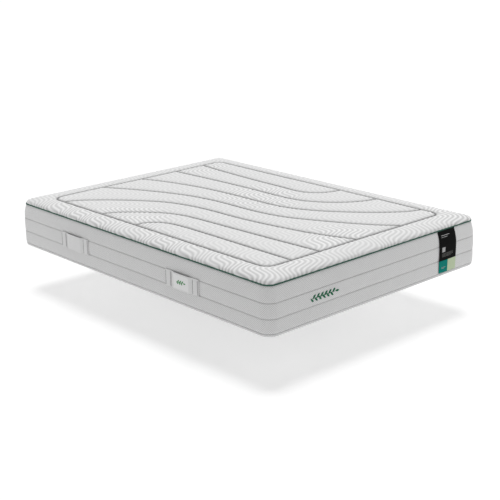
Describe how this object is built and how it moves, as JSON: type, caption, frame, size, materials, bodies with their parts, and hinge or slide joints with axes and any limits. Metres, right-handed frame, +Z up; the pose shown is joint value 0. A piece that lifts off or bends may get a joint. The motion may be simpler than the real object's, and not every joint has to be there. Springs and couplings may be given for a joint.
{
  "type": "memory foam mattress",
  "caption": "Double mattress with a quilted knit top, a piped edge, a mesh border, side handles and a hanging label over layers of foam.",
  "frame": {"origin": "centre of the underside, on the surface that the mattress lies on", "axes": "+X across the width, to the right seen from the foot; +Y along the length, towards the head; +Z up"},
  "size_m": [1.4202, 1.9036, 0.26],
  "materials": {
    "support_foam": "open-cell foam, matt",
    "comfort_foam": "open-cell foam, matt",
    "memory_foam": "viscoelastic foam, matt",
    "base_cloth": "plain non-slip woven cloth, matt",
    "wadding": "fibre wadding, matt",
    "quilting_foam": "soft foam, matt",
    "backing_cloth": "spunbond cloth, matt",
    "top_knit": "quilted knit with raised wavy ribs, matt",
    "border_knit": "spacer mesh knit, matt",
    "green_piping": "twisted satin cord",
    "pale_thread": "polyester thread",
    "green_embroidery": "satin stitch",
    "strap_webbing": "knitted strap, matt",
    "tab_webbing": "woven tab, matt",
    "grey_stitching": "polyester thread",
    "badge_cloth": "printed satin cloth",
    "label_black": "woven label, satin",
    "label_teal": "woven label, satin",
    "label_pale_green": "woven label, satin"
  },
  "bodies": {
    "mattress": {"base_fabric": "base_cloth", "base_seam_thread": "pale_thread", "base_wadding": "wadding", "border_fabric": "border_knit", "border_thread_lower": "pale_thread", "border_thread_upper": "pale_thread", "border_wadding": "wadding", "comfort_foam_layer": "comfort_foam", "embroidered_leaves": "green_embroidery", "handle_left_foot_strap_ends": "strap_webbing", "handle_left_foot_tabs": "tab_webbing", "handle_left_foot_tacks": "grey_stitching", "handle_left_head_strap_ends": "strap_webbing", "handle_left_head_tabs": "tab_webbing", "handle_left_head_tacks": "grey_stitching", "handle_right_foot_strap_ends": "strap_webbing", "handle_right_foot_tabs": "tab_webbing", "handle_right_foot_tacks": "grey_stitching", "handle_right_head_strap_ends": "strap_webbing", "handle_right_head_tabs": "tab_webbing", "handle_right_head_tacks": "grey_stitching", "memory_foam_layer": "memory_foam", "piping_cord": "green_piping", "piping_flange": "green_piping", "quilt_foam": "quilting_foam", "quilt_frame_thread": "pale_thread", "quilt_wadding": "wadding", "quilt_wave_thread_1": "pale_thread", "quilt_wave_thread_2": "pale_thread", "quilt_wave_thread_3": "pale_thread", "quilt_wave_thread_4": "pale_thread", "quilt_wave_thread_5": "pale_thread", "quilt_wave_thread_6": "pale_thread", "quilt_wave_thread_7": "pale_thread", "support_core": "support_foam", "top_backing": "backing_cloth", "top_fabric": "top_knit"},
    "label_flap": {"label_dark_panel": "label_black", "label_pale_tab": "label_pale_green", "label_teal_tab": "label_teal"},
    "handle_left_head_grip": {"handle_left_head_grip": "strap_webbing"},
    "handle_left_foot_grip": {"handle_left_foot_badge": "badge_cloth", "handle_left_foot_grip": "strap_webbing"},
    "handle_right_head_grip": {"handle_right_head_grip": "strap_webbing"},
    "handle_right_foot_grip": {"handle_right_foot_badge": "badge_cloth", "handle_right_foot_grip": "strap_webbing"}
  },
  "joints": [
    {"name": "label_lift", "type": "hinge", "parent": "mattress", "child": "label_flap", "pos_m": [0.46, -0.93601, 0.2214], "axis": [-1, 0, 0], "range_deg": [0, 90]},
    {"name": "handle_left_head_pull", "type": "slide", "parent": "mattress", "child": "handle_left_head_grip", "axis": [-1, 0, 0], "range_m": [0, 0.025]},
    {"name": "handle_left_foot_pull", "type": "slide", "parent": "mattress", "child": "handle_left_foot_grip", "axis": [-1, 0, 0], "range_m": [0, 0.025]},
    {"name": "handle_right_head_pull", "type": "slide", "parent": "mattress", "child": "handle_right_head_grip", "axis": [1, 0, 0], "range_m": [0, 0.025]},
    {"name": "handle_right_foot_pull", "type": "slide", "parent": "mattress", "child": "handle_right_foot_grip", "axis": [1, 0, 0], "range_m": [0, 0.025]}
  ]
}
